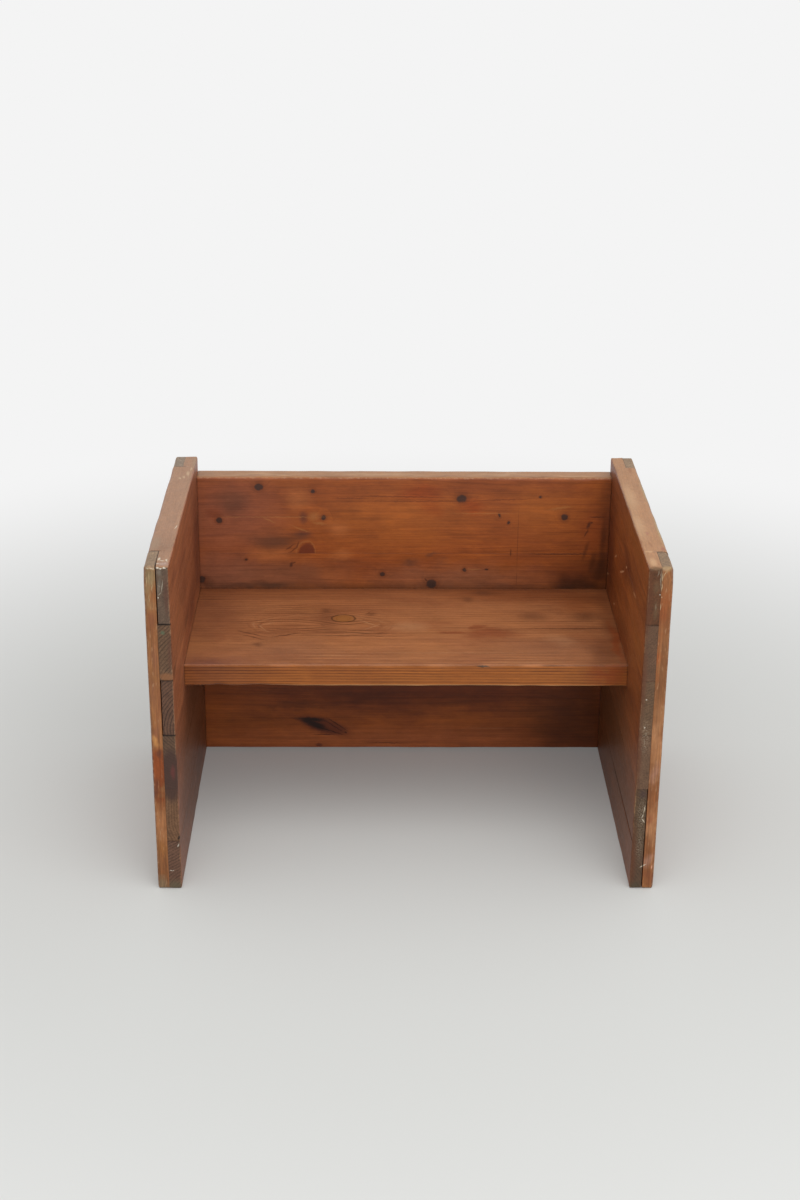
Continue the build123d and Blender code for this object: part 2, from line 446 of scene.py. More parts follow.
    # short pale flecks where fibres have lifted, about 2 x 14 mm
    if look["flecks"]:
        fleck = add("VectorMath", {0: grain, 1: (1 / 14, 1 / 2.2, 1 / 2.2)}, operation="MULTIPLY")
        fleck = add("TexNoise", {"Vector": fleck, "Scale": 1.0, "Detail": 1.0})
        fleck = add("MapRange", {"Value": fleck, "From Min": 0.62, "From Max": 0.74,
                                 "To Max": look["flecks"]}, **smooth)
        colour = add("Mix", {0: fleck, 6: colour, 7: linear(look["worn"])}, **mixing)

    # arrises where the finish has worn through, then dirt in the joints, then single marks
    speck = add("TexNoise", {"Vector": point, "Scale": 1 / 6, "Detail": 4.0, "Roughness": 0.7})
    arris = add("Attribute", {}, attribute_name="arris").outputs["Fac"]
    worn = add("Math", {0: arris, 1: 0.5, 2: speck}, operation="MULTIPLY_ADD")
    worn = add("MapRange", {"Value": worn, "From Min": 0.85, "From Max": 1.15,
                            "To Max": look["wornStrength"]}, **smooth)
    colour = add("Mix", {0: worn, 6: colour, 7: linear(look["worn"])}, **mixing)
    seam = add("Attribute", {}, attribute_name="seam").outputs["Fac"]
    colour = add("Mix", {0: seam, 6: colour, 7: linear(look["grime"])}, **mixing)
    for mark in look["marks"]:
        outline = {"ragged": fine, "wavy": wavy}.get(mark.get("edge"), point)
        colour = laidOver(add, colour, outline, mark, {"bands": mottle, "grit": grit})

    # late wood stands a little proud of the softer early wood
    height = add("Math", {0: late, 1: 0.6, 2: fibre}, operation="MULTIPLY_ADD")
    bump = add("Bump", {"Strength": 0.4, "Distance": 0.2 * millimetre, "Height": height})
    gloss = add("MapRange", {"Value": speck, "From Min": 0.3, "From Max": 0.7,
                             "To Min": look["roughness"] - 0.05, "To Max": look["roughness"] + 0.07})
    dulled = add("Math", {0: endwise, 1: 0.25, 2: gloss}, operation="MULTIPLY_ADD")
    shader = add("BsdfPrincipled", {"Base Color": colour, "Roughness": dulled, "Normal": bump, "IOR": 1.5,
                                    "Specular IOR Level": look["specular"]})
    add("OutputMaterial", {"Surface": shader})
    return material


def finishBoard(board, look):
    piece = wornBoard({**plain, **board})
    piece.data.materials.append(stainedPine(board["name"] + "_stained_pine", {**pine, **look}))


# Spots on each face: a place, as a ruler laid on the bench would give it, half sizes along the face, and a
# turn in degrees. Across a side's front edge or top, the ruler starts at the panel's left face.
def backSpot(fromLeft, belowTop, halfLong, halfTall, turn=0, depth=26):
    place = (backLow[0] + fromLeft, backLow[1], backHigh[2] - belowTop)
    return (place, (halfLong, depth, halfTall), (0, turn, 0))


def backTopSpot(fromLeft, fromFront, halfLong, halfWide):
    place = (backLow[0] + fromLeft, backLow[1] + fromFront, backHigh[2])
    return (place, (halfLong, halfWide, 30), (0, 0, 0))


def seatSpot(fromLeft, fromBack, halfLong, halfWide, turn=0):
    place = (seatLow[0] + fromLeft, seatHigh[1] - fromBack, seatHigh[2])
    return (place, (halfLong, halfWide, 25), (0, 0, turn))


def seatEdgeSpot(fromLeft, belowTop, halfLong, halfTall, turn=0, depth=8):
    place = (seatLow[0] + fromLeft, seatLow[1], seatHigh[2] - belowTop)
    return (place, (halfLong, depth, halfTall), (0, turn, 0))


sideFrom = {-1: -outerX, 1: innerX}


def edgeSpot(side, across, belowTop, halfWide, halfTall, turn=0):
    return ((sideFrom[side] + across, frontY, topZ - belowTop), (halfWide, 9, halfTall), (0, turn, 0))


def topSpot(side, across, fromFront, halfWide, halfLong, turn=0):
    return ((sideFrom[side] + across, frontY + fromFront, topZ), (halfWide, halfLong, 6), (0, 0, turn))


def innerSpot(side, fromFront, belowTop, halfLong, halfTall, turn=0):
    return ((side * innerX, frontY + fromFront, topZ - belowTop), (13, halfLong, halfTall), (turn, 0, 0))


leftEdge, rightEdge = partial(edgeSpot, -1), partial(edgeSpot, 1)
leftTop, rightTop = partial(topSpot, -1), partial(topSpot, 1)
leftInner, rightInner = partial(innerSpot, -1), partial(innerSpot, 1)


# A colour laid on spots of one face, with its strength and softness, for stains and, where marked so, painted
# light and shade; also with a ragged edge, multiplied over what lies below, and as a ring
def stainAndPaintedLight(colour, strength, soft, face, *places, **more):
    return dict(colour=colour, strength=strength, soft=soft, spots=[face(*place) for place in places], **more)


def ragged(*colourAndPlaces, **more):
    return stainAndPaintedLight(*colourAndPlaces, edge="ragged", **more)


def shade(*colourAndPlaces):
    return stainAndPaintedLight(*colourAndPlaces, blend="MULTIPLY")


def ring(colour, strength, width, face, *places, **more):
    return stainAndPaintedLight(colour, strength, None, face, *places, outline=width, **more)


# The layers that can show between two heights: a spot reaches its tall half size, its turn's share and slack
def layersNear(layers, low, high, slack):
    near = []
    for layer in layers:
        spots = []
        for at, halfSize, turn in layer["spots"]:
            tall = (halfSize[2] + halfSize[0] * abs(math.sin(math.radians(turn[1])))
                    + halfSize[1] * abs(math.sin(math.radians(turn[0]))))
            reach = (1 + fadeOut) * tall + slack
            if low[2] - reach < at[2] < high[2] + reach:
                spots.append((at, halfSize, turn))
        if spots:
            near.append({**layer, "spots": spots})
    return near


# Seat plank: rings about a pith far below its back edge, one golden knot with the grain parted round it
seatLook = dict(
    axes=(0, 1, 2), pith=(seatHigh[1] + 98, seatHigh[2] - 440), ringWidth=3.4, taper=0.004, seed=3, drift=7,
    lateStrength=0.85, leanYear=0.4, plainRange=(0.5, 1.2), faceTint=dict(axis=1, tint="#F6DE98"), lines=0.2,
    plainSpots=[dict(more=0.6, spot=seatSpot(205, 140, 120, 75)),
                dict(more=0.45, spot=seatEdgeSpot(339, 14, 400, 40, depth=44)),
                dict(more=-0.55, spot=seatSpot(339, 10, 400, 80))],
    fibreStrength=0.1, bandStrength=0.06, cloudStrength=0.35,
    early="#A76C44", late="#542A15", cloud="#824A2E", glow="#AE7042", worn="#B58A64", wornStrength=0.12,
    eyes=[dict(share=0.8, spot=seatSpot(244, 127, 66, 52)), dict(share=0.6, spot=seatSpot(150, 152, 90, 52))],
    patches=[
        stainAndPaintedLight("#6A3A28", 0.48, 0.8, seatSpot, (20, 105, 75, 130)),
        shade("#D2CDFF", 0.75, 0.8, seatEdgeSpot, (30, 22, 90, 40, 0, 40)),
        stainAndPaintedLight("#683820", 0.55, 0.8, seatSpot, (648, 250, 34, 60), (674, 160, 24, 190)),
        stainAndPaintedLight("#8F4C20", 0.45, 0.9, seatSpot, (632, 62, 50, 60)),
        stainAndPaintedLight("#C08C62", 0.4, 0.9, seatSpot, (345, 158, 34, 26), (585, 215, 26, 30)),
        stainAndPaintedLight("#74462C", 0.55, 0.95, seatSpot, (214, 126, 24, 46)),
        stainAndPaintedLight("#8C5C40", 0.45, 0.8, seatSpot, (165, 240, 80, 45), (560, 235, 90, 40)),
        stainAndPaintedLight("#7A3A20", 0.6, 0.6, seatSpot, (472, 184, 48, 25), (455, 158, 18, 10), (415, 180, 26, 7)),
        dict(colour="#8A3E16", strength=0.6, soft=0.8,
             spots=[seatEdgeSpot(655, 18, 45, 30), seatSpot(672, 220, 10, 90)]),
    ],
    marks=[
        # painted shade: the seat darkens along its back edge, where it meets the back board, in a narrow band
        # and a wide band, more on the right half
        shade("#E0D8D4", 1.0, 0.95, seatSpot, (339, 0, 3000, 18)),
        shade("#E6DAD3", 1.0, 0.95, seatSpot, (339, 0, 3000, 64)),
        shade("#E0D4C9", 1.0, 0.9, seatSpot, (530, 28, 150, 40)),
        ragged("#54301E", 0.52, 0.95, seatSpot, (470, 18, 22, 14), (444, 46, 12, 14), (632, 115, 28, 26),
            (545, 116, 30, 20), (211, 92, 9, 12, 15), (285, 109, 10, 11), (108, 228, 8, 11, 30)),
        ragged("#55301C", 0.55, 0.7, seatSpot, (560, 165, 118, 2.6, 2.3), (615, 164, 58, 4.2, 2)),
        stainAndPaintedLight("#56301C", 0.75, 0.8, seatSpot, (97, 187, 33, 2.8, -28), (150, 192, 30, 2.6, 22),
            (265, 184, 95, 2.2, -1), (97, 199, 28, 2.0, -28), (275, 194, 90, 1.9, -1),
            (250, 175, 60, 1.9, 1), edge="wavy"),
        stainAndPaintedLight("#5E3520", 0.5, 0.8, seatSpot, (235, 262, 110, 1.4), (215, 274, 70, 1.3),
            (228, 284, 85, 1.4), (505, 259, 95, 1.3), (530, 268, 80, 1.4), (500, 277, 75, 1.2),
            (520, 287, 90, 1.4), (225, 193, 110, 1.3, -1), (208, 152, 7, 1.6, -40),
            (280, 104, 12, 1.4, 60)),
        ragged("#BC8B62", 0.5, 0.7, seatSpot, (282, 145, 24, 1.4, -40), (288, 158, 20, 1.4, 38),
            (110, 160, 18, 1.4, -62), (118, 148, 16, 1.2, 30), (430, 258, 160, 0.9), (230, 268, 60, 0.9),
            (520, 292, 90, 1.1)),
        ring("#5E3520", 0.4, 0.04, seatSpot, (203, 152, 98, 34), edge="wavy", broken=("bands", 0.42, 0.56)),
        ring("#5E3520", 0.3, 0.03, seatSpot, (205, 154, 116, 46), edge="wavy",
            broken=("bands", 0.42, 0.56)),
        ring("#BC8B62", 0.3, 0.03, seatSpot, (203, 152, 106, 40), edge="wavy",
            broken=("bands", 0.42, 0.56)),
        stainAndPaintedLight("#5E3520", 0.45, 0.8, seatSpot, (155, 70, 36, 1.8, 2), (165, 80, 44, 1.8, -2),
            (150, 90, 34, 1.8, 4), (168, 100, 38, 1.8, 5), (284, 92, 24, 1.6, -6),
            (294, 106, 22, 1.6, -10), edge="wavy"),
        ragged("#96602F", 0.75, 0.25, seatSpot, (240.5, 125, 18, 14)),
        ring("#3E2510", 0.85, 0.13, seatSpot, (240.5, 125, 18.8, 14.8), edge="ragged"),
        ring("#7A4A20", 0.5, 0.15, seatSpot, (240, 125, 11, 8), edge="ragged"),
        ragged("#2E2A1E", 0.8, 0.6, seatEdgeSpot, (457, 2.4, 12, 1.8, 5)),
        stainAndPaintedLight("#D09A62", 0.7, 0.6, seatEdgeSpot, (400, 33.8, 330, 1.1)),
    ],
)
seatBoard = dict(
    name="worn_seat_plank", node="seat_plank", slot="seat", step=4.0, seed=3,
    arrises={(0, -1, 1): 2.8, (0, -1, -1): 2.0}, wear=0.4,
    chips=[dict(edge=(0, -1, 1), at=seatLow[0] + 461, depth=2.2, width=8),
           dict(edge=(0, -1, -1), at=seatLow[0] + 52, depth=4.5, width=14),
           dict(edge=(0, -1, -1), at=seatLow[0] + 113, depth=5.5, width=24),
           dict(edge=(0, -1, -1), at=seatLow[0] + 440, depth=2.0, width=30)],
    seams=[dict(axis=1, at=seatHigh[1], width=1.6, strength=0.5),
           dict(axis=0, at=seatLow[0], width=1.2, strength=0.5),
           dict(axis=0, at=seatHigh[0], width=1.2, strength=0.5)],
)
finishBoard(seatBoard, seatLook)
print("seat plank made")

# Back: three boards, knotty on the upper two, darker towards the seat and the right end, partly with painted
# shade, and with painted light at the foot of the lower board
backKnots = [
    (101, 17, 8, 6), (189, 24, 3.6, 3.2), (35, 75, 5, 5), (206, 70, 4, 4), (433, 36, 8.5, 7, -10),
    (562, 33, 2.5, 2), (495, 65, 2, 3.6, -25), (511, 78, 2, 3), (603, 68, 6, 5.5), (77, 144, 2.5, 2),
    (3, 180, 6, 6), (303, 170, 4.6, 4), (385, 187, 8.5, 8), (440, 162, 3.6, 3.6), (477, 161, 2.5, 1.5),
]
backPatches = [
    stainAndPaintedLight("#8D533E", 0.65, 0.85, backSpot, (45, 70, 110, 110), (30, 160, 90, 60)),
    stainAndPaintedLight("#79503C", 0.6, 0.9, backSpot, (110, 176, 190, 40), (420, 178, 190, 32)),
    stainAndPaintedLight("#B06426", 0.4, 0.9, backSpot, (330, 75, 150, 55), (560, 60, 60, 40)),
    stainAndPaintedLight("#AF6838", 0.5, 0.9, backSpot, (165, 36, 24, 26), (118, 134, 40, 16), (232, 88, 22, 16),
        (234, 138, 20, 12)),
    shade("#E8D2C2", 0.8, 0.9, backSpot, (385, 52, 28, 18), (25, 66, 16, 14)),
    stainAndPaintedLight("#4B2C1E", 0.5, 0.8, backSpot, (12, 184, 16, 12)),
    stainAndPaintedLight("#563628", 0.55, 0.95, backSpot, (56, 42, 34, 24), (64, 193, 50, 7), (118, 189, 44, 8),
        (118, 110, 56, 20), (350, 150, 14, 10), (384, 132, 11, 5)),
    shade("#F3D2BA", 0.9, 0.9, backSpot, (365, 26, 40, 16), (452, 50, 24, 18)),
    # painted shade in the corner where the back meets the right side panel, running down to the seat
    stainAndPaintedLight("#5C2B14", 0.58, 0.8, backSpot, (678, 100, 24, 130), (630, 168, 58, 32)),
    stainAndPaintedLight("#9A4A20", 0.45, 0.9, backSpot, (650, 92, 22, 44)),
    stainAndPaintedLight("#331A0E", 0.75, 0.85, backSpot, (634, 188, 60, 17), (666, 165, 24, 38)),
    # painted light: the foot of the lower board is lightened, as by light from the floor
    stainAndPaintedLight("#A45C36", 0.75, 0.9, backSpot, (339, 484, 420, 34)),
    stainAndPaintedLight("#452011", 0.4, 0.9, backSpot, (160, 413, 90, 7), (255, 398, 70, 14)),
    stainAndPaintedLight("#4A220E", 0.7, 0.85, backSpot, (640, 450, 110, 110)),
    # painted shade under the seat, across the top of what shows of the lower board
    stainAndPaintedLight("#5C2C12", 0.6, 0.9, backSpot, (339, 380, 340, 55)),
    shade("#D9BFA3", 1.0, 0.9, backSpot, (339, 384, 420, 44)),
]
backMarks = [
    # painted shade along the joint where the seat meets the back
    shade("#CCD1D6", 1.0, 0.95, backSpot, (339, 197, 3000, 12)),
    ragged("#5E2A10", 0.55, 0.7, backSpot, (330, 33, 95, 1.3, 1), (365, 41, 115, 1.2),
        (500, 38, 60, 1.3, -2), (250, 36, 40, 1.2)),
    ragged("#2E160B", 0.6, 0.6, backSpot, (516, 131, 1.6, 8), (640, 96, 1.6, 9, 25), (656, 68, 16, 1.2),
        (376, 180, 4, 1.6, 40)),
    ragged("#3E2016", 0.75, 0.7, backSpot, (643, 82, 3.4, 8, 20), (648, 78, 4, 2), (152, 153, 3.4, 6, 20),
        (156, 150, 4, 1.6, -20)),
    ragged("#4A2A26", 0.6, 0.9, backSpot, (173, 70, 8, 13), (172, 99, 17, 8)),
    ragged("#4F3424", 0.38, 0.95, backSpot, (166, 103, 20, 8, -6), (132, 114, 38, 14), (116, 190, 34, 4)),
    stainAndPaintedLight("#2E160B", 0.3, 0.6, backSpot, (527, 108, 0.9, 64), (527, 178, 0.8, 16)),
    ragged("#B07A45", 0.36, 0.9, backSpot, (190, 68, 11, 9, -20), (199, 80, 13, 3, 10),
        (596, 52, 22, 2.5, -8), (116, 74, 16, 1.5, 25), (168, 90, 18, 1.4, 22), (140, 69, 90, 1),
        (58, 69, 26, 1), (470, 62, 60, 1), (455, 161, 14, 1.4)),
    ragged("#642A17", 0.85, 0.25, backSpot, (177.5, 134, 14.5, 21, 14), boards=(0,)),
    ring("#A97040", 0.3, 0.12, backSpot, (176, 133, 15.5, 22, 12), edge="ragged", boards=(0,)),
    ragged("#46200F", 0.6, 0.6, backSpot, (150, 122, 11, 1.5, -35), (156, 127, 10, 1.4, -35),
        (163, 118, 1.5, 8, 20)),
    ragged("#1B100B", 0.6, 0.8, backSpot, (600, 133.5, 62, 1.4)),
    ragged("#2E1609", 0.45, 0.9, backSpot, (640, 128, 4, 20, 14), (652, 150, 6, 24, 10),
        (668, 110, 6, 46, 2), (606, 178, 12, 12)),
    ragged("#5C2B1D", 0.8, 0.5, backSpot, (205, 453, 50, 16, 17.6), (195, 489, 7, 4)),
    ragged("#1A1210", 0.88, 0.7, backSpot, (181, 440, 31, 5, 4), (189, 450, 28, 8, 25),
        (177, 444, 18, 6, 14)),
    ragged("#1E0D08", 0.75, 0.7, backSpot, (226, 449, 24, 1.2, 36), (221, 453, 22, 1.0, 34),
        (204, 469, 20, 1.2), (241, 465, 3.5, 2, 30), (212, 461, 30, 1.1, 20)),
    ragged("#1C0D07", 0.5, 0.5, backSpot, (312, 485, 36, 1.2, 2)),
    stainAndPaintedLight("#A06A45", 0.5, 0.5, backSpot, (487, 456.5, 43, 0.8)),
]
backRubbed = [
    stainAndPaintedLight("#7E5233", 0.5, 0.9, backTopSpot, (60, 6, 40, 3), (150, 8, 50, 3), (235, 5, 40, 4),
        (420, 7, 60, 3), (560, 6, 70, 3)),
    stainAndPaintedLight("#C19A70", 0.5, 0.9, backTopSpot, (110, 15, 60, 6), (300, 18, 80, 7), (500, 16, 60, 6),
        (620, 12, 40, 5)),
]
backLook = dict(
    axes=(0, 2, 1), ringWidth=3.2, early="#954E20", late="#5C270C", cloud="#693019", glow="#A85B24",
    lateStrength=0.45, worn="#B58A6A", fibreStrength=0.13, mottleStrength=0.14, lines=0.2,
    rubbed="#A27448", rubbedPatches=backRubbed)
backBoards = [
    dict(pith=(backHigh[2] - 70, 330), rubbedStrength=0.8, bandStrength=0.07),
    dict(pith=(backHigh[2] - 200, 300), rubbedStrength=0, bandStrength=0.07),
    dict(pith=(60, 320), rubbedStrength=0, bandStrength=0.14),
]
backArrises = [{(0, -1, 1): 4.0, (0, 1, 1): 4.0}, {}, {(0, -1, -1): 1.5, (0, 1, -1): 1.5}]
for index, ownLook in enumerate(backBoards):
    node = f"back_board_{index + 1}"
    low, high = boxOf(node)
    knots = [backSpot(*knot, depth=110) for knot in backKnots if low[2] < backHigh[2] - knot[1] < high[2]]
    shown = [mark for mark in backMarks if index in mark.get("boards", (0, 1, 2))]
    seams = [dict(axis=0, at=end, width=1.5, strength=0.5) for end in (low[0], high[0])]
    for height in ([high[2]] if index else []) + ([low[2]] if index < 2 else []):
        seams.append(dict(axis=2, at=height, width=0.6, strength=0.2))
        seams.append(dict(axis=2, at=height, width=0.9, strength=0.6,
                          where=[(1, backHigh[1] - 2, backHigh[1])]))
    look = dict(backLook, **ownLook, seed=7 + index, knots=knots,
                patches=layersNear(backPatches, low, high, broadShift / 2),
                marks=layersNear(shown, low, high, fineShift / 2))
    finishBoard(dict(name="worn_" + node, node=node, slot="back_boards", seed=11 + index,
                     arrises=backArrises[index], seams=seams), look)
print("back made")

# Side panels: six boards each, lapped at both ends for the stiles. Counted from the top; pith is how far the
# middle of the trunk lies from the board's own middle, outwards and up; joints say how dark each seam is on
# the front edge, gaps how far each lap has opened there; a knot has its board, from front, down and size.
sides = {
    "left": dict(
        side=-1, joints=[1.0, 0.9, 1.0, 0.15, 0.4], gaps=[1.5, 0.1, 1.5, 0.1, 0.1, 0.1],
        piths=[(-140, -160), (-150, -120), (-75, -40), (-60, 90), (-190, 10), (-70, -90)],
        ends=[("#5F4C3E", "#48382D"), ("#6A4F3A", "#3A281D"), ("#5F4333", "#2E1D15"), ("#634A38", "#3A291F"),
              ("#6C4D36", "#47301F"), ("#684A3A", "#3A271D")],
        tones=[1.0, 0.93, 1.06, 0.9, 1.03, 0.96], endRings=[0.3, 0.9, 1.0, 0.8, 0.8, 0.8],
        knots=[(0, 130, 44, 6), (0, 318, 60, 4), (1, 250, 30, 7), (2, 95, 52, 5), (2, 372, 22, 6),
               (3, 200, 60, 4), (4, 300, 40, 7), (4, 150, 20, 3.5), (5, 240, 50, 5)],
        topLines={-1: (0.9, 0.9), 1: (0.15, 0.5)}, opened={}, innerArris=[4.0, 4.0, 2.2, 2.2, 2.2, 3.0],
        crowns={-1: ("#8E765E", "#6F5A46"), 1: ("#8C7A69", "#7A6A5C")},
        sharp=[(1, dict(at=topZ - 171, depth=-2.6, width=7))], rubbed="#A17B5E",
        face=dict(early="#995C3C", late="#63321C", cloud="#703E2B", glow="#A0613B")),
    "right": dict(
        side=1, joints=[0.5, 0.12, 0.3, 0.1, 0.12], gaps=[0.1, 0.1, 0.1, 0.2, 1.2, 1.4],
        piths=[(120, -60), (-160, 140), (90, -200), (-180, -60), (-120, -130), (-110, -100)],
        ends=[("#5A3720", "#442816"), ("#5E4432", "#483224"), ("#664D38", "#4E3929"), ("#654B38", "#4C3829"),
              ("#59432F", "#3A2A1E"), ("#553F2E", "#36281C")],
        tones=[1.0, 1.05, 0.94, 1.02, 0.92, 1.0], endRings=[0.4, 0.35, 0.5, 0.4, 0.7, 0.6],
        knots=[(0, 210, 36, 5), (1, 110, 56, 7), (1, 352, 24, 4), (2, 280, 48, 6), (3, 90, 30, 4),
               (3, 330, 62, 7), (4, 190, 44, 5), (5, 310, 30, 6), (5, 120, 58, 3.5)],
        topLines={-1: (0.3, 0.9), 1: (0.6, 0.15)}, opened={4: dict(at=frontY + 80, depth=3.0, width=150)},
        crowns={-1: ("#886F56", "#6B5540"), 1: ("#937A61", "#7A634E")}, innerArris=[3.5] * 6, sharp=[],
        rubbed="#AD7F57",
        face=dict(early="#8A4B23", late="#58290D", cloud="#5E2C16", glow="#92531F")),
}
sideMarks = {
    "left": [
        ragged("#DDD5C5", 0.8, 0.6, leftEdge, (20.5, 2, 2.2, 1.2), (25, 2.5, 2.5, 1), (30, 2, 2, 0.9),
            (20.5, 46.5, 1, 1.2)),
        stainAndPaintedLight("#DDD5C5", 0.75, 0.6, leftEdge, (21, 493.5, 2.4, 0.6, 18), (24, 493.4, 1.6, 0.5, -25),
            (33, 450, 0.7, 3, 20)),
        stainAndPaintedLight("#B0A796", 0.75, 0.8, leftEdge, (26.2, 29.5, 0.7, 10, 8), (22.6, 41, 0.6, 4, 41),
            (22, 29, 2.4, 0.5, 20)),
        ragged("#8C8578", 0.35, 0.9, leftEdge, (23, 8, 4, 6), (22, 30, 2.6, 16, 8), (34, 448, 2, 4)),
        ragged("#573528", 0.6, 0.8, leftEdge, (32, 45, 5, 36), (34, 135, 5, 34)),
        ragged("#566B52", 0.6, 0.7, leftEdge, (24, 101, 3.5, 3.5, -30)),
        ragged("#93603C", 0.6, 0.5, leftEdge, (28, 171, 13, 6.5)),
        ragged("#412C26", 0.85, 0.3, leftEdge, (27, 332, 16, 48)),
        ragged("#6E3431", 0.5, 0.8, leftEdge, (30, 326, 4, 14)),
        ragged("#1A120D", 0.9, 0.5, leftEdge, (35, 437, 2.2, 4)),
        ragged("#5F5A45", 0.6, 0.8, leftEdge, (26, 522, 14, 14)),
        ragged("#E3D9C2", 0.7, 0.6, leftTop, (20, 13, 3, 1.6), (26, 12, 3, 1.4), (30, 14, 1.5, 2),
            (31, 26, 1.4, 6, 10), (20, 31, 1.7, 6, -8), (25, 24, 4, 1.5), (32, 158, 0.8, 9, -8)),
        ragged("#D6BC96", 0.5, 0.9, leftTop, (17.5, 375, 2.4, 6, 15), (23, 381, 2.2, 7, 10),
            (28, 398, 2.6, 14, 6), (31, 420, 1.6, 10)),
        shade("#EAEAEA", 1.0, 0.9, leftTop, (18, 80, 24, 60)),
        ragged("#5A4637", 0.7, 0.8, leftTop, (9, 62.4, 10, 2)),
        ragged("#A5877A", 0.7, 0.7, leftTop, (28, 12, 9, 8)),
        ragged("#9A8168", 0.5, 0.8, leftTop, (8, 92, 10, 32), (34, 455, 5, 30)),
    ],
    "right": [
        ragged("#E2D8C6", 0.8, 0.6, rightEdge, (17.4, 41, 1, 1.2), (8.5, 206, 1.6, 0.8), (8, 252, 1.2, 1),
            (21.5, 33, 0.9, 1)),
        stainAndPaintedLight("#D9CDB6", 0.85, 0.7, rightEdge, (15.3, 388, 0.6, 7.5, 7), (13.2, 399.5, 0.6, 4.2, 18),
            (14.5, 407, 0.8, 4.6, -34), (18, 485.2, 5.4, 1.0, -32)),
        stainAndPaintedLight("#A99B86", 0.42, 0.9, rightEdge, (12, 400, 8, 42), (11, 450, 8, 30), (9, 268, 7, 30),
            broken=("grit", 0.5, 0.62)),
        ragged("#A79C86", 0.5, 0.9, rightEdge, (17.4, 18, 1.2, 16), (14, 8, 0.8, 6, 10), (13, 60, 0.8, 5)),
        ragged("#5E3520", 0.75, 0.8, rightEdge, (0, 60, 8, 70), (0, 180, 8, 70), (0, 300, 7, 70),
            (0, 470, 9, 70)),
        ragged("#6E5A40", 0.35, 0.9, rightEdge, (13, 66, 4, 18), (12, 30, 5, 12)),
        ragged("#43302F", 0.6, 0.8, rightEdge, (12, 362, 7, 9)),
        ragged("#4B4534", 0.6, 0.8, rightEdge, (8, 522, 12, 12)),
        stainAndPaintedLight("#C08E66", 0.85, 0.6, rightInner, (274, 117, 28, 2.2, -24), (355, 123, 15, 2, -26),
            (345, 202, 11, 2, -20), (125, 94, 16, 1.6, -3), (226, 90, 8, 2, -30), (440, 188, 12, 2, -20)),
        ragged("#C9A075", 0.6, 0.7, rightTop, (9, 22, 6, 18), (8, 64, 7, 4)),
        ragged("#9C6148", 0.85, 0.7, rightTop, (15, 136, 2.4, 8), (30, 74, 5, 9)),
        ragged("#94623C", 0.75, 0.9, rightTop, (2, 104, 2.4, 10), (14, 92, 2.2, 16, 8), (24, 425, 4, 34)),
        ragged("#C49C74", 0.5, 0.9, rightTop, (7, 170, 10, 60), (9, 290, 11, 70)),
        dict(colour="#5C4630", strength=0.7, soft=0.7, edge="ragged",
             spots=[rightTop(16, 0, 22, 4), rightEdge(10, 1, 11, 2.5)]),
        ragged("#A89566", 0.5, 0.8, rightTop, (34, 150, 4, 70), (34, 320, 4, 60)),
    ],
}
innerPatches = {
    "left": [stainAndPaintedLight("#512820", 0.6, 0.85, leftInner, (410, 120, 60, 100), (300, 190, 90, 30)),
             stainAndPaintedLight("#44301F", 0.5, 0.8, leftInner, (20, 170, 30, 12), (210, 178, 30, 9)),
             # painted shade on the lower inner face under the seat, deeper still towards the foot
             stainAndPaintedLight("#5C3720", 0.75, 0.6, leftInner, (260, 410, 330, 170)),
             shade("#F4E8CC", 1.0, 0.7, leftInner, (80, 470, 200, 80))],
    "right": [stainAndPaintedLight("#8A4F1E", 0.5, 0.85, rightInner, (60, 150, 70, 30), (150, 20, 150, 24)),
              stainAndPaintedLight("#4C2115", 0.6, 0.85, rightInner, (420, 130, 60, 120), (200, 80, 90, 26)),
              # painted shade on the lower inner face under the seat, deeper still towards the foot
              stainAndPaintedLight("#744A2E", 0.75, 0.6, rightInner, (260, 410, 330, 170)),
              shade("#ECE2BE", 1.0, 0.7, rightInner, (160, 450, 300, 120))],
}
stilePatches = {
    "left": [
        stainAndPaintedLight("#8B7856", 0.8, 0.7, leftEdge, (8, 25, 14, 45)),
        stainAndPaintedLight("#7E4A30", 0.6, 0.8, leftEdge, (10, 88, 8, 18), (12, 215, 6, 42)),
        stainAndPaintedLight("#7C4C38", 0.5, 0.9, leftEdge, (12, 140, 7, 30), (3, 195, 5, 34), (10, 260, 7, 14)),
        stainAndPaintedLight("#B0764C", 0.6, 0.9, leftEdge, (9, 420, 12, 40)),
        stainAndPaintedLight("#B07A45", 0.8, 0.7, leftEdge, (4, 274, 6, 9)),
        stainAndPaintedLight("#79360F", 0.85, 0.35, leftEdge, (9, 335, 24, 56)),
        stainAndPaintedLight("#552F20", 0.7, 0.7, leftEdge, (10, 296, 6, 11), (0, 358, 5, 24)),
        stainAndPaintedLight("#96602E", 0.6, 0.8, leftEdge, (9, 455, 12, 18)),
        stainAndPaintedLight("#7A6A50", 0.7, 0.8, leftEdge, (8, 520, 14, 16)),
    ],
    "right": [
        stainAndPaintedLight("#8E4A20", 0.8, 0.8, rightEdge, (27, 62, 14, 46), (22, 140, 6, 40)),
        stainAndPaintedLight("#B48058", 0.6, 0.8, rightEdge, (27, 268, 11, 62), (28, 420, 10, 40)),
        stainAndPaintedLight("#7F4528", 0.6, 0.8, rightEdge, (28, 505, 12, 20), (24, 404, 7, 10)),
        stainAndPaintedLight("#A67A66", 0.6, 0.8, rightEdge, (24, 472, 8, 16), (30, 330, 8, 24)),
    ],
}
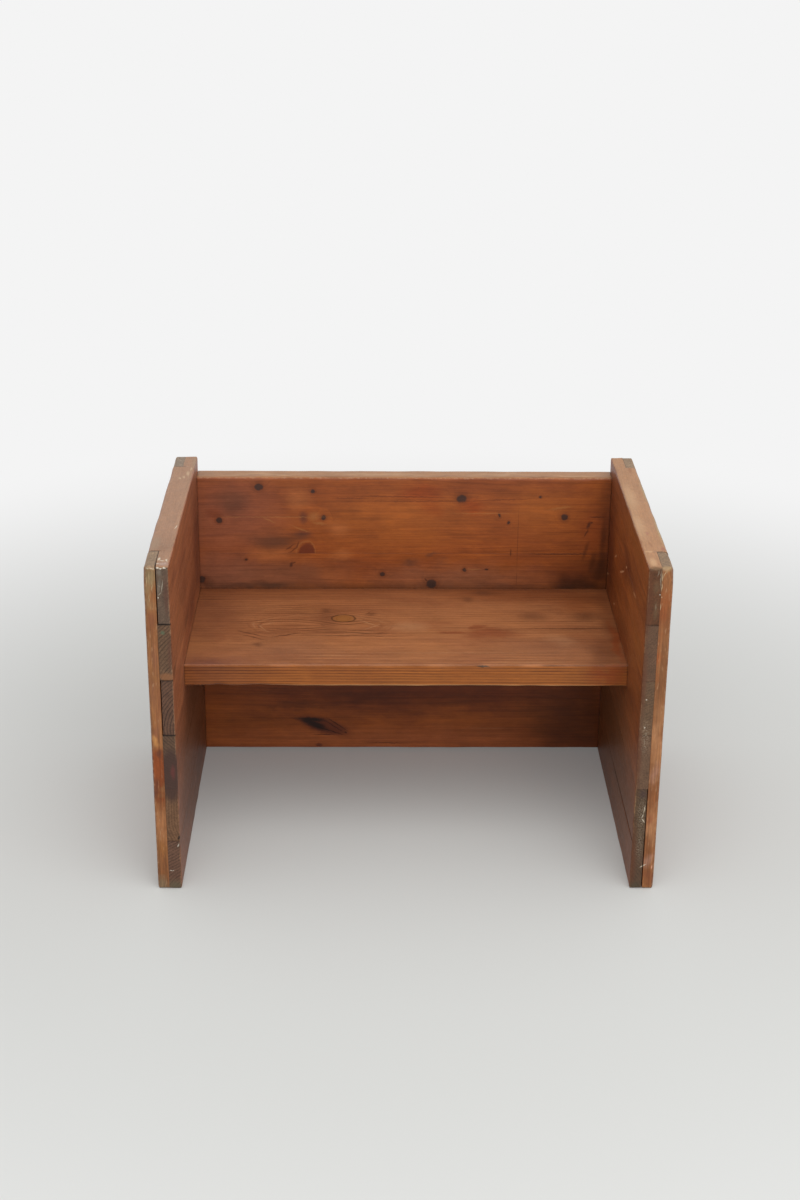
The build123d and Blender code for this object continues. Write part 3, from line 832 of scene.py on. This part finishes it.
stileMarks = {
    "left": [
        ragged("#5A4637", 0.7, 0.8, leftTop, (9, 61.6, 10, 2), (17, 30, 1.2, 34)),
        ragged("#D8CDB4", 0.5, 0.7, leftEdge, (6, 3, 3, 0.9), (12, 2.5, 2.5, 0.9), (15, 4, 1.2, 1.6)),
        ragged("#B7A27C", 0.5, 0.8, leftEdge, (5, 22, 0.8, 9), (9, 14, 0.7, 7), (12, 30, 0.8, 10),
            (7, 48, 0.7, 8)),
    ],
    "right": [
        ragged("#A38660", 0.75, 0.8, rightEdge, (28, 1, 12, 5.5)),
        stainAndPaintedLight("#E0D2BC", 0.8, 0.7, rightEdge, (19, 484.6, 5.4, 1.0, -32)),
        ragged("#E0A48C", 0.8, 0.8, rightEdge, (31.5, 487, 1.3, 4, 8)),
        stainAndPaintedLight("#4F3527", 0.8, 0.8, rightTop, (28, 62.6, 10, 1.6)),
        ragged("#C9B892", 0.55, 0.8, rightEdge, (19.6, 14, 1.0, 8), (19.4, 30, 0.8, 7), (20, 44, 1, 1.4),
            (23, 9, 0.7, 5, 20), (19.2, 60, 0.7, 6)),
    ],
}
boardCount = sum(node.startswith("left_side_board_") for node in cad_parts)
panelShape = dict(innerRear=7.0, innerTop=4.0, outerTop=6.0, endTop=5.0, foot=4.0, lapCut=0.02, rearGap=0.05)
panelLook = dict(axes=(1, 2, 0), ringWidth=4.4, leanYear=0.6, roughness=0.44, gritStrength=0.12)
stileShape = dict(front=4.0, rear=8.0, top=6.0, foot=4.0, step=2.5, pithAway=300.0)
stileLook = dict(
    axes=(2, 1, 0), early="#8E5C35", late="#683A1C", cloud="#764222", glow="#A06C3E", fibreStrength=0.25,
    lateStrength=0.6, cloudStrength=0.6, ringWidth=4.0, gritStrength=0.1,
    faceTint=dict(axis=0, tint="#E6D8D0"))
skinDeep = 3        # mm below the face of an end in which the dirt of its joints lies
for name, panel in sides.items():
    side = panel["side"]
    lapShared = dict(outer=side, inner=side * innerX, lapX=lapX)
    outside = (0, *sorted((side * lapX, side * outerX)))
    atFront = (1, frontY, frontY + skinDeep)
    for index in range(boardCount):
        node = f"{name}_side_board_{index + 1}"
        low, high = boxOf(node)
        middle = (low + high) / 2
        top, bottom = index == 0, index == boardCount - 1
        arrises = {(2, -side, -1): panel["innerArris"][index], (2, -side, 1): panelShape["innerRear"]}
        if top:
            arrises.update({(1, -side, 1): panelShape["innerTop"], (1, side, 1): panelShape["outerTop"]})
        for end in (-1, 1):
            if top:
                arrises[0, end, 1] = panelShape["endTop"]
            if bottom:
                arrises[1, end, -1] = arrises[0, end, -1] = panelShape["foot"]
        seams = []
        chips = [dict(chip, edge=(2, -side, -1)) for at, chip in panel["sharp"] if at == index]
        for height, joint, up in ((high[2], index - 1, 1), (low[2], index, -1)):
            if 0 <= joint < boardCount - 1:
                dark = panel["joints"][joint]
                if joint in panel["opened"]:
                    opened = panel["opened"][joint]
                    chips.append(dict(opened, edge=(1, -side, up)))
                    seams.append(dict(axis=2, at=height, width=1.6, strength=0.95,
                                      where=[(1, frontY + 6, opened["at"] + opened["width"])]))
                seams.append(dict(axis=2, at=height, width=0.7, strength=0.2))
                seams.append(dict(axis=2, at=height, width=0.9, strength=0.7, where=[outside]))
                seams.append(dict(axis=2, at=height, width=1.4, strength=dark, where=[atFront]))
                arrises[0, -1, up] = 0.3 + 0.9 * dark
        cut = panelShape["lapCut"]
        board = dict(name="worn_" + node, node=node, slot="side_boards", seed=20 + index + 10 * side,
                     laps=[dict(lapShared, low=frontY, high=stileEndY, tip=frontY, gap=panel["gaps"][index]),
                           dict(lapShared, low=rearStileY, high=rearY, tip=rearY, gap=panelShape["rearGap"])],
                     cuts={1: [plane + end for plane in (stileEndY, rearStileY) for end in (-cut, cut)]},
                     arrises=arrises, seams=seams, chips=chips)
        outwards, up = panel["piths"][index]
        knots = [((side * outerX, frontY + fromFront, high[2] - down), (16, 1.2 * size, size), (0, 0, 0))
                 for at, fromFront, down, size in panel["knots"] if at == index]
        endEarly, endLate = panel["ends"][index]
        # painted light: the rear ends of the side boards are lightened, to offset the shade they lie in
        rearEnd = ((middle[0], rearY, middle[2]), (90, 90, 120), (0, 0, 0))
        look = dict(panelLook, **panel["face"], pith=(middle[2] + up, middle[0] + side * outwards),
                    seed=30 + index + 10 * side, tone=panel["tones"][index], knots=knots,
                    rubbed=panel["rubbed"], rubbedStrength=0.85 if top else 0.0,
                    patches=layersNear(innerPatches[name], low, high, broadShift / 2),
                    marks=layersNear(sideMarks[name], low, high, fineShift / 2),
                    endEarly=endEarly, endLate=endLate, endRings=panel["endRings"][index],
                    endPatches=[dict(colour="#7D5E45", strength=0.55, soft=0.8, spots=[rearEnd])])
        finishBoard(board, look)
    for end, node in ((-1, f"{name}_front_stile"), (1, f"{name}_rear_stile")):
        low, high = boxOf(node)
        arrises = {(2, side, end): stileShape["front"] if end < 0 else stileShape["rear"],
                   (0, end, 1): stileShape["top"], (0, end, -1): stileShape["foot"],
                   (1, side, 1): stileShape["top"], (1, side, -1): stileShape["foot"]}
        chips = [dict(edge=(2, side, -1), at=high[2], depth=8.0, width=18),
                 dict(edge=(2, side, -1), at=low[2], depth=2.0, width=12)]
        crown = (2, high[2] - skinDeep, high[2])
        beside, behind = panel["topLines"][end]
        lapEnd = stileEndY if end < 0 else rearStileY
        seams = [dict(axis=0, at=side * lapX, width=0.8, strength=beside, where=[crown]),
                 dict(axis=1, at=lapEnd, width=0.8, strength=behind, where=[crown])]
        endEarly, endLate = panel["crowns"][end]
        away = stileShape["pithAway"]
        look = dict(stileLook, pith=(end * away, side * away), seed=60 + end + 5 * side, endEarly=endEarly,
                    endLate=endLate, flecks=0.4 if end < 0 else 0.25,
                    patches=stilePatches[name] if end < 0 else [], marks=stileMarks[name] if end < 0 else [])
        finishBoard(dict(name="worn_" + node, node=node, slot="stiles", seed=50 + end + 5 * side,
                         arrises=arrises, seams=seams, chips=chips, step=stileShape["step"]), look)
print("side panels made")

# Beech dowels, turned and left bare, sealed inside the joints
beech = bpy.data.materials.new("bare_beech")
add = emptyNodes(beech)
place = add("TexCoord", {})
fleck = add("TexNoise", {"Vector": place.outputs["Object"], "Scale": 1 / (3 * millimetre), "Detail": 3.0})
tone = add("Mix", {0: fleck, 6: linear("#C69C6D"), 7: linear("#A87B4E")}, **mixing)
shader = add("BsdfPrincipled", {"Base Color": tone, "Roughness": 0.6})
add("OutputMaterial", {"Surface": shader})
for node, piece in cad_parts.items():
    if node.endswith("_dowels"):
        piece.data.materials.clear()
        piece.data.materials.append(beech)
print("dowels finished")


# 1 for rays that show the background, seen straight, mirrored or through glass, and 0 for rays of light
def seenRays(add):
    ray = add("LightPath", {})
    seen = ray.outputs["Is Camera Ray"]
    for other in ("Is Glossy Ray", "Is Transmission Ray"):
        seen = add("Math", {0: seen, 1: ray.outputs[other]}, operation="ADD", use_clamp=True)
    return seen


# Stage: a plain pale floor that turns to white away from the bench, soft light and the camera
floor = dict(size=80.0, colour="#CFD0CD", haze="#F4F4F4", veil=0.1, hazeFrom=0.65, hazeTo=1.9, drop=0.0002)
mesh = bpy.data.meshes.new("floor")
reach = floor["size"] / 2
corners = [(x * reach, y * reach, -floor["drop"]) for x, y in ((-1, -1), (1, -1), (1, 1), (-1, 1))]
mesh.from_pydata(corners, [], [(0, 1, 2, 3)])
ground = bpy.data.objects.new("floor", mesh)
bpy.context.scene.collection.objects.link(ground)
paint = bpy.data.materials.new("matt_floor_paint")
add = emptyNodes(paint)
place = add("TexCoord", {})
away = add("VectorMath", {0: place.outputs["Object"]}, operation="LENGTH").outputs["Value"]
haze = add("MapRange", {"Value": away, "From Min": floor["hazeFrom"], "From Max": floor["hazeTo"],
                        "To Min": floor["veil"]}, **smooth)
haze = add("Math", {0: haze, 1: seenRays(add)}, operation="MULTIPLY")
matt = add("BsdfPrincipled", {"Base Color": linear(floor["colour"]), "Roughness": 0.9})
white = add("Emission", {"Color": linear(floor["haze"]), "Strength": 1.0})
mixed = add("MixShader", {0: haze, 1: matt, 2: white})
add("OutputMaterial", {"Surface": mixed})
mesh.materials.append(paint)

lamps = [
    dict(name="overhead", place=(0.4, -1.5, 2.9), aim=(0, 0, 0.25), size=3.0, watts=42),
    dict(name="window", place=(1.2, -4.2, 1.5), aim=(0, 0, 0.2), size=3.0, watts=32),
]
for lamp in lamps:
    data = bpy.data.lights.new(lamp["name"], "AREA")
    data.shape, data.size, data.energy = "DISK", lamp["size"], lamp["watts"]
    light = bpy.data.objects.new(lamp["name"], data)
    light.location = lamp["place"]
    light.rotation_euler = (Vector(lamp["place"]) - Vector(lamp["aim"])).to_track_quat("Z", "Y").to_euler()
    bpy.context.scene.collection.objects.link(light)

room = dict(light="#F4F4F4", strength=0.78)
world = bpy.data.worlds.new("soft_room")
bpy.context.scene.world = world
add = emptyNodes(world)
soft = add("Background", {"Color": linear(room["light"]), "Strength": room["strength"]})
seen = add("Background", {"Color": linear(floor["haze"]), "Strength": 1.0})
mixed = add("MixShader", {0: seenRays(add), 1: soft, 2: seen})
add("OutputWorld", {"Surface": mixed})

shot = dict(place=(-0.0480, -2.7431, 1.5378), tilt=23.021, pan=-0.8157, roll=0.4319, lens=57.44, sensor=36.0)
cameraData = bpy.data.cameras.new("photo_view")
cameraData.lens, cameraData.sensor_width = shot["lens"], shot["sensor"]
camera = bpy.data.objects.new("photo_view", cameraData)
turn = Matrix.Rotation(math.radians(shot["pan"]), 4, "Z")
turn = turn @ Matrix.Rotation(math.radians(90 - shot["tilt"]), 4, "X")
turn = turn @ Matrix.Rotation(math.radians(shot["roll"]), 4, "Z")
camera.matrix_world = Matrix.Translation(shot["place"]) @ turn
bpy.context.scene.collection.objects.link(camera)
bpy.context.scene.camera = camera
bpy.context.scene.view_settings.view_transform = "Standard"
print("stage set")
